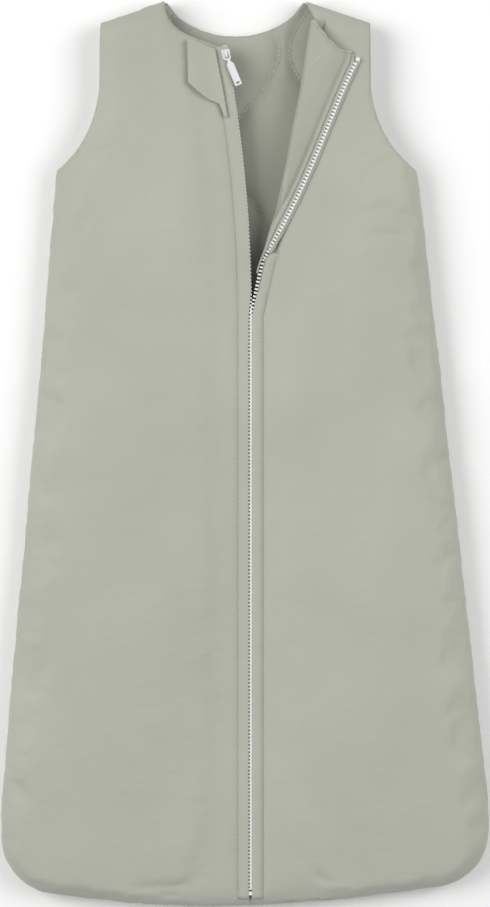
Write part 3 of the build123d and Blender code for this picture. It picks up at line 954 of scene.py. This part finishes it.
# %% Zip tapes
TAPE_THICKNESS = 0.5 * MM
tape_section = [
    (1.8 * MM, zip_z - 0.5 * MM),
    (1.6 * MM, zip_z),
    (2.0 * MM, zip_z + 0.5 * MM),
    (2.5 * MM, zip_z + 0.35 * MM),
    (3.0 * MM, zip_z + 0.1 * MM),
    (5.0 * MM, zip_z),
    (9.5 * MM, zip_z),
]
left_tape = left_strip("left_zip_tape", tape_section, chain_low_y, left_top_y, TAPE_THICKNESS)
right_tape = right_strip("right_zip_tape", tape_section, chain_low_y, 50 * MM, TAPE_THICKNESS)
for tape, node, under in (
    (left_tape, "zip_tape_left", "front_left_pad"),
    (right_tape, "zip_tape_right", "front_right_pad"),
):
    finish_piece(tape, "bag", "zip_tape", tape_cloth, node)
    print(tape.name, "is", round(tape.dimensions.y, 3), "m long")

# %% [markdown]
# ## The folded-back lapel
# One side of the opening is turned right over, so its lining faces up and its row of teeth lies on
# the front panel. The visible sheet starts under the front, rolls round the fold, crosses
# the padding and ends in a stitched hem beside the tape. It is one grid, bent into that path.

# %% Lapel lines
FACING_LOW = 34 * MM
LINING_LEVEL = 21.6 * MM
# Where the roll's outermost edge lies beside the hinge line, up the fold.
roll_edge = [
    (0.0, -2.5 * MM),
    (37 * MM, -4.9 * MM),
    (60 * MM, -2.2 * MM),
    (95 * MM, 1.0 * MM),
    (174 * MM, -0.9 * MM),
    (237 * MM, -3.4 * MM),
]
# The neck edge falls from the fold's top to the end of the row of teeth.
neck_edge = [(0.0, 237.5 * MM), (0.2, 231 * MM), (0.45, 224 * MM), (0.72, 219 * MM), (1.0, 219.5 * MM)]
# Distances in from the row of teeth, and down from the neck edge.
HEM_SEAM = 8.4 * MM
HEM_EDGE = 4.6 * MM
TIP_EDGE = 1.2 * MM
NECK_GROOVE = 2.7 * MM
NECK_RIDGE = 1.5 * MM
LAPEL_TAPE_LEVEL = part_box("zip_tape_lapel")[1].z


def roll_width(up):
    """The roll of cloth at the fold is flatter near its foot."""
    return 0.9 * MM + 2.3 * MM * smooth_step(42 * MM, 75 * MM, up)


def facing_height(up, out):
    """Height of the lapel's lining: flat beside the teeth, sunk at the seam, full behind it."""
    away = row_out(up) - out
    full = math.sqrt(min(max((away - HEM_SEAM) / (13 * MM), 0.0), 1.0))
    sunk = math.exp(-(((away - HEM_SEAM) / (0.9 * MM)) ** 2))
    neck_fall = smooth_step(0.0, 9 * MM, 238 * MM - up - out * 0.45)
    tip_level = panel_top + 0.6 * MM
    hem = tip_level + (LAPEL_TAPE_LEVEL + 1.0 * MM - tip_level) * smooth_step(36 * MM, 62 * MM, up)
    return hem + (5.6 * MM * full) * (0.35 + 0.65 * neck_fall) - 0.8 * MM * sunk


def lapel_point(u, v):
    """u runs up the fold from 0 to 1; v is below 0 on the roll and from 0 to 1 across the facing."""
    share = max(v, 0.0)
    up = FACING_LOW + u * (at_value(neck_edge, share) - FACING_LOW)
    width = roll_width(up)
    start = at_value(roll_edge, up) + width
    tip = smooth_step(FACING_LOW, FACING_LOW + 45 * MM, up)
    end = max(row_out(up) - (TIP_EDGE + (HEM_EDGE - TIP_EDGE) * tip), start + 0.4 * MM)
    if v >= 0:
        out = start + v * (end - start)
        z = facing_height(up, out)
    else:
        top = facing_height(up, start)
        angle = math.pi / 2 * (1 - 2 * v)
        out = start + width * math.cos(angle)
        z = (top + LINING_LEVEL) / 2 + (top - LINING_LEVEL) / 2 * math.sin(angle)
    from_neck = (1 - u) * (at_value(neck_edge, share) - FACING_LOW)
    if v >= 0:
        z -= 0.75 * MM * math.exp(-(((from_neck - NECK_GROOVE) / (0.45 * MM)) ** 2))
        z += 0.45 * MM * math.exp(-(((from_neck - NECK_RIDGE) / (0.6 * MM)) ** 2))
    return fold_point + fold_up * up + fold_out * out, z


# %% Lapel facing
ROWS_UP = 100
ROWS_ACROSS = 34
ROLL_SHARE = 0.3
# Above 1 the grid's rows crowd towards the neck edge, whose rolled seam needs them.
NECK_CROWDING = 1.6
facing_mesh = bmesh.new()
bmesh.ops.create_grid(facing_mesh, x_segments=ROWS_ACROSS, y_segments=ROWS_UP, size=0.5)
for vertex in facing_mesh.verts:
    across, u = vertex.co.x + 0.5, 1 - (0.5 - vertex.co.y) ** NECK_CROWDING
    v = (across - ROLL_SHARE) / (1 - ROLL_SHARE) if across >= ROLL_SHARE else across / ROLL_SHARE - 1
    place, z = lapel_point(u, v)
    vertex.co = (place.x, place.y, z)
thicken(facing_mesh, 0.5 * MM)
facing = finished(facing_mesh, "lapel_facing_sheet")


def facing_relief(p, normal):
    """Wrinkles of the facing, which fade towards its stitched hem."""
    up, out = fold_place(p)
    soft = smooth_step(HEM_SEAM, HEM_SEAM + 8 * MM, row_out(up) - out)
    relief = 0.7 * MM * swell(p * 2.0) + 0.5 * MM * drape(p * 1.6) + 0.22 * MM * crush(p)
    return normal * relief * (0.2 + 0.8 * soft)


subdivide(facing)
shape(facing, facing_relief)
facing.data.materials.clear()
facing.data.materials.append(lining_cotton)
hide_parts("lapel_facing")
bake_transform(facing)

# %% [markdown]
# ## Padding of the lapel
# Under the facing lies the same padding as in the panels. Only its neck edge and underside show, so
# a fine voxel skin that stays below the facing is enough.

# %% Lapel pad
lapel_pad = voxel_skin("lapel_pad", ["lapel_outer", "lapel_wadding"], 2.6 * MM)


def under_facing(p, normal):
    """Keeps the lapel's padding below its facing and inside the roll of the fold."""
    up, out = fold_place(p)
    limit = facing_height(up, out) - 1.2 * MM
    aside = max(at_value(roll_edge, up) + 0.8 * MM - out, 0.0)
    drop = min(limit - p.z, 0.0) if p.z > fold_point.z + 1.0 * MM else 0.0
    return fold_out * aside + Vector((0.0, 0.0, drop))


subdivide(lapel_pad)
shape(lapel_pad, under_facing)
finish_piece(lapel_pad, "lapel", "outer_cotton", outer_cotton, "lapel_outer", "lapel_wadding")
print(lapel_pad.name, "faces", len(lapel_pad.data.polygons))

# %% Lapel tape and fold
def lapel_strip(name, section, first_up, last_up, thickness):
    """A strip beside the lapel's row. The section is (inward, z) points from the teeth."""
    made = bmesh.new()
    count = round((last_up - first_up) / STEP)
    bmesh.ops.create_grid(made, x_segments=len(section) - 1, y_segments=count, size=0.5)
    for vertex in made.verts:
        inward, z = section[round((vertex.co.x + 0.5) * (len(section) - 1))]
        up = first_up + (vertex.co.y + 0.5) * (last_up - first_up)
        room = row_out(up) - at_value(roll_edge, up) - 1.2 * MM
        if inward > 0:
            inward *= min(room / section[-1][0], 1.0)
        slope = (row_out(up + 4 * MM) - row_out(up - 4 * MM)) / (8 * MM)
        lean = math.atan(slope)
        along = fold_up * (up + inward * math.sin(lean))
        across = fold_out * (row_out(up) - inward * math.cos(lean))
        place = fold_point + along + across
        vertex.co = (place.x, place.y, z)
    thicken(made, thickness)
    return finished(made, name)


lapel_level = (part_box("zip_tape_lapel")[0].z + LAPEL_TAPE_LEVEL) / 2
lapel_tape_section = [
    (1.5 * MM, lapel_level - 0.1 * MM),
    (1.7 * MM, lapel_level + 0.6 * MM),
    (2.3 * MM, lapel_level + 0.75 * MM),
    (3.0 * MM, lapel_level + 0.3 * MM),
    (6.0 * MM, lapel_level + 0.2 * MM),
    (10.0 * MM, lapel_level + 0.2 * MM),
]
row_end = fold_row[-1][0]
lapel_tape = lapel_strip(
    "lapel_zip_tape", lapel_tape_section,
    first_up=54 * MM, last_up=row_end + 5 * MM, thickness=TAPE_THICKNESS,
)
finish_piece(lapel_tape, "lapel", "zip_tape", tape_cloth, "zip_tape_lapel")
edge_section = [
    (-2.9 * MM, lapel_level - 1.0 * MM),
    (-3.1 * MM, lapel_level - 0.7 * MM),
    (-2.8 * MM, lapel_level - 0.45 * MM),
    (0.5 * MM, lapel_level - 0.4 * MM),
    (6.0 * MM, lapel_level - 0.35 * MM),
]
lapel_fold = lapel_strip(
    "lapel_zip_fold", edge_section,
    first_up=52 * MM, last_up=row_end + 5 * MM, thickness=0.3 * MM,
)
shape(lapel_fold, ripple_edge)
finish_piece(lapel_fold, "lapel", "outer_cotton", outer_cotton)

# %% [markdown]
# ## Quilted lining
# Inside, the lining is stitched through to the wadding in waved lines that nearly touch and part
# again. Between the lines the padding swells. The sheet is the frame's own lining cut into a fine
# grid, and each point rises with its distance from the nearest line.

# %% Quilted linings
QUILT_SWING = 22 * MM
QUILT_GAP = 8 * MM
QUILT_PERIOD = 160 * MM
QUILT_TURN = (0.0278, 0.3186)
QUILT_RISE = 3.4 * MM
QUILT_SPACING = 2 * QUILT_SWING + QUILT_GAP
GRID_STEP = 3 * MM
LINING_INSET = 1.0 * MM


def quilt_lines(x_low, x_high):
    """Each waved line as (middle, sign): x = middle + sign * swing * cos of the height."""
    first = QUILT_TURN[0] - QUILT_SWING
    low = math.floor((x_low - first) / QUILT_SPACING) - 1
    high = math.ceil((x_high - first) / QUILT_SPACING) + 1
    return [(first + i * QUILT_SPACING, 1 if i % 2 == 0 else -1) for i in range(low, high + 1)]


def quilt_x(line, y):
    """Where a waved line is at a height."""
    middle, sign = line
    return middle + sign * QUILT_SWING * math.cos(2 * math.pi * (y - QUILT_TURN[1]) / QUILT_PERIOD)


def quilt_distance(p):
    """How far a point is from the nearest waved line, measured across."""
    lines = quilt_lines(p.x - QUILT_SPACING, p.x + QUILT_SPACING)
    return min(abs(p.x - quilt_x(line, p.y)) for line in lines)


def quilted_sheet(node, faces_up):
    """One side of a lining node as a fine grid, drawn in a little at its edges."""
    made = frame_copy([node])
    bmesh.ops.dissolve_limit(made, angle_limit=0.02, verts=made.verts, edges=made.edges)
    side = 1.0 if faces_up else -1.0
    level_faces = [face for face in made.faces if face.normal.z * side > 0.9]
    largest = max(level_faces, key=lambda face: face.calc_area())
    others = [face for face in made.faces if face != largest]
    bmesh.ops.delete(made, geom=others, context="FACES")
    bmesh.ops.inset_region(
        made, faces=made.faces, thickness=LINING_INSET, use_boundary=True, use_even_offset=True
    )
    rim = [face for face in made.faces if any(edge.is_boundary for edge in face.edges)]
    if len(rim) < len(made.faces):
        bmesh.ops.delete(made, geom=rim, context="FACES")
    low, high = corners(made.verts)
    for axis, direction in ((0, Vector((1.0, 0.0, 0.0))), (1, Vector((0.0, 1.0, 0.0)))):
        for i in range(1, int((high[axis] - low[axis]) / GRID_STEP) + 1):
            place = low + direction * (i * GRID_STEP)
            everything = made.verts[:] + made.edges[:] + made.faces[:]
            bmesh.ops.bisect_plane(made, geom=everything, plane_co=place, plane_no=direction)
    return made


def quilt_shape(rise):
    """The move that swells a lining between its quilting lines, up or down."""
    def move(p, normal):
        away = quilt_distance(p)
        full = 1 - math.exp(-away / (6 * MM))
        lift = neck_lift(p) if rise > 0 else Vector()
        return lift + Vector((0.0, 0.0, rise * full + abs(rise) * 0.15 * swell(p * 3.0)))
    return move


for name, node, faces_up, under in (
    ("back_lining_sheet", "back_lining", True, "back_pad"),
    ("left_lining_sheet", "front_left_lining", False, "front_left_pad"),
    ("right_lining_sheet", "front_right_lining", False, "front_right_pad"),
):
    made = quilted_sheet(node, faces_up)
    bmesh.ops.recalc_face_normals(made, faces=made.faces)
    if (made.faces[0].normal.z > 0) != faces_up:
        bmesh.ops.reverse_faces(made, faces=made.faces)
    area = sum(face.calc_area() for face in made.faces)
    bmesh.ops.solidify(made, geom=made.faces[:], thickness=0.4 * MM)
    sheet = finished(made, name)
    shape(sheet, quilt_shape(QUILT_RISE if faces_up else -0.6 * QUILT_RISE))
    finish_piece(sheet, "bag", "lining_cotton", lining_cotton, node)
    width, length = sheet.dimensions.x, sheet.dimensions.y
    print(name, "flat area", round(area, 4), "faces", len(sheet.data.polygons))

# %% [markdown]
# ## Slider, pull and stops
# These are small castings. Their frame solids have the right shape, so each piece is that solid with
# its flat faces joined and its edges eased by a bevel, which catches a line of light.

# %% Castings
def eased(name, node, width):
    """A frame solid with its flat faces joined and its sharp edges bevelled."""
    made = frame_copy([node])
    bmesh.ops.dissolve_limit(made, angle_limit=0.03, verts=made.verts, edges=made.edges)
    joined = [edge for edge in made.edges if len(edge.link_faces) == 2]
    sharp = [edge for edge in joined if edge.calc_face_angle() > 0.6]
    bmesh.ops.bevel(
        made, geom=sharp, offset=width, segments=2, profile=0.5,
        affect="EDGES", material=-1, clamp_overlap=True,
    )
    piece = finished(made, name)
    piece.data.shade_flat()
    return piece


for name, node, body, width, slot, material in (
    ("zip_slider", "slider_body", "slider", 0.14 * MM, "white_enamel", enamel),
    ("slider_bridge", "slider_bail", "slider", 0.12 * MM, "white_enamel", enamel),
    ("zip_pull", "pull_tab", "pull", 0.12 * MM, "white_enamel", enamel),
    ("left_top_stop", "top_stop_left", "bag", 0.2 * MM, "zip_plastic", tooth_plastic),
    ("lapel_top_stop", "top_stop_lapel", "lapel", 0.2 * MM, "zip_plastic", tooth_plastic),
    ("hem_stop", "bottom_stop", "bag", 0.2 * MM, "zip_plastic", tooth_plastic),
    ("slider_spring", "lock_spring", "slider", 0.04 * MM, "spring_steel", steel),
):
    casting = eased(name, node, width)
    finish_piece(casting, body, slot, material, node)
    print(name, len(casting.data.polygons), "faces")

# %% [markdown]
# ## Guard flap
# Beside the zip's top a small pointed flap can fold over the slider. It is two layers of cloth over
# felt, so it is thin, its edges are rounded and it stands a little proud of the panel. A fine voxel
# skin round its three layers gives those edges, and one move curls it and leans its upper end.

# %% Guard
GUARD_NODES = ["guard_lining", "guard_interlining", "guard_outer"]
guard_pos = Vector(joints["guard_fold"]["pos_m"])
guard_up = Vector(joints["guard_fold"]["axis"]).normalized()
guard_reach = Vector((-guard_up.y, guard_up.x, 0.0))
guard = voxel_skin("guard_flap", GUARD_NODES, 0.8 * MM)


def guard_place(point):
    """How far a point is out from the guard's seam, and up along it."""
    away = point - guard_pos
    return away.dot(guard_reach), away.dot(guard_up)


def guard_lift(p, normal):
    """The guard curls up towards its free edge, and its upper end leans with the neck edge."""
    out, up = guard_place(p)
    curl = 5.0 * MM * smooth_step(3 * MM, 26 * MM, out) * (0.55 + 0.45 * smooth_step(50 * MM, 15 * MM, up))
    wave = 0.5 * MM * noise.noise(Vector((p.x * 70.0, p.y * 55.0, 4.4)))
    upper = smooth_step(18 * MM, 58 * MM, up)
    slant = upper * (-5.5 * MM + 10.5 * MM * smooth_step(-4 * MM, 24 * MM, out))
    return Vector((0.0, slant, max(curl + wave * smooth_step(2 * MM, 9 * MM, out), 0.0)))


shape(guard, guard_lift)
finish_piece(guard, "guard", "outer_cotton", outer_cotton, *GUARD_NODES)

# %% [markdown]
# ## Stitches
# Lock stitches show as a row of short raised thread ends with a small gap between them. A stitch is a
# flattened ball. Each lies on the cloth at its place, found by looking down onto the cloth. The
# quilting is sewn with the same thread, but its stitches sink into the padding, so they are larger.

# %% Stitch helpers
STITCH_PITCH = 2.9 * MM
QUILT_PITCH = 3.2 * MM
SEWN_IN = 0.08 * MM


def stitch_shape(name, size):
    """A flattened ball that lies along Y."""
    made = bmesh.new()
    bmesh.ops.create_uvsphere(made, u_segments=6, v_segments=4, radius=1.0)
    quarter_turn = Matrix.Rotation(math.pi / 2, 3, "X")
    bmesh.ops.rotate(made, verts=made.verts, cent=(0, 0, 0), matrix=quarter_turn)
    bmesh.ops.scale(made, vec=size, verts=made.verts)
    return as_mesh(made, name)


top_stitch = stitch_shape("top_stitch", (0.28 * MM, 1.0 * MM, 0.24 * MM))
quilt_stitch = stitch_shape("quilt_stitch", (0.55 * MM, 1.1 * MM, 0.5 * MM))
thread = cloth_material(
    "sewing_thread", light=(0.6, 0.61, 0.54), dark=(0.54, 0.55, 0.48),
    thread=0.0002, crush=0.1, sheen=0.3,
)


def walk(line, first, last, pitch):
    """Points along line(y) at even distances between two heights."""
    points = [line(first)]
    y = first
    while y < last:
        y += pitch * 0.1
        point = line(y)
        if (point - points[-1]).length >= pitch:
            points.append(point)
    return points


def sewn(name, body, points, cloths, unit, raise_by):
    """A row of stitches laid on the cloths under the points."""
    shown = bpy.context.evaluated_depsgraph_get()
    trees = [BVHTree.FromObject(cloth, shown) for cloth in cloths]
    places = []
    for start, end in zip(points, points[1:]):
        middle = (start + end) / 2
        above = Vector((middle.x, middle.y, 80 * MM))
        hits = [tree.ray_cast(above, Vector((0.0, 0.0, -1.0))) for tree in trees]
        hits = [hit for hit in hits if hit[0] is not None]
        if not hits:
            continue
        place, normal = max(hits, key=lambda hit: hit[0].z)[:2]
        along = end - start
        along.z = 0.0
        along -= normal * along.dot(normal)
        places.append((unit, facing_along(place + normal * raise_by, along, normal)))
    row = scatter(name, places)
    finish_piece(row, body, "outer_cotton", thread)
    print(name, len(places), "stitches")


# %% Stitching beside the zip
TOP_STITCH_OUT = STITCH_LINE - 0.5 * MM
first_stitch_y = chain_low_y + 2 * MM


def left_stitch_line(y):
    """The left row of stitches follows the bend of the left row of teeth."""
    return on_left_row(TOP_STITCH_OUT, y)


def right_stitch_line(y):
    """The right row of stitches turns with the fold line."""
    if y <= open_y:
        return Vector((zip_x + TOP_STITCH_OUT, y, 0.0))
    place = Vector((zip_x + TOP_STITCH_OUT, open_y, 0.0)) + fold_up * ((y - open_y) / fold_up.y)
    return Vector((place.x, place.y, 0.0))


left_points = walk(left_stitch_line, first_stitch_y, 262 * MM, STITCH_PITCH)
right_points = walk(right_stitch_line, first_stitch_y, open_y + 40 * MM, STITCH_PITCH)
sewn("left_topstitch", "bag", left_points, [left_fold, front_left], top_stitch, SEWN_IN)
sewn("right_topstitch", "bag", right_points, [right_fold, front_right], top_stitch, SEWN_IN)

# %% Quilting inside
back_lining_sheet = bpy.data.objects["back_lining_sheet"]
for i, line in enumerate(quilt_lines(-20 * MM, 40 * MM)):
    points = walk(lambda y: Vector((quilt_x(line, y), y, 0.0)), 90 * MM, 350 * MM, QUILT_PITCH)
    sewn(f"quilting_{i}", "bag", points, [back_lining_sheet], quilt_stitch, 0.2 * MM)

# %% Stitching on the guard and the lapel
guard_places = [guard_place(vertex.co) for vertex in guard.data.vertices]


def guard_edge(out, inside):
    """A point over the guard, inside its lower edge by a little."""
    low = min(up for across, up in guard_places if abs(across - out) < 1.0 * MM)
    return guard_pos + guard_reach * out + guard_up * (low + inside)


for i, inside in enumerate((1.3 * MM, 2.9 * MM)):
    points = [guard_edge((3 + 1.5 * step) * MM, inside) for step in range(14)]
    sewn(f"guard_stitching_{i}", "guard", points, [guard], top_stitch, 0.05 * MM)


def facing_point(across, up):
    """A place over the lapel, across and up from the foot of its fold."""
    place = fold_point + fold_up * up + fold_out * across
    return Vector((place.x, place.y, 0.0))


neck_quilting = [facing_point((13 - 1.9 * step) * MM, (216 - 2.9 * step) * MM) for step in range(8)]
sewn("facing_quilting", "lapel", neck_quilting, [facing], top_stitch, SEWN_IN)
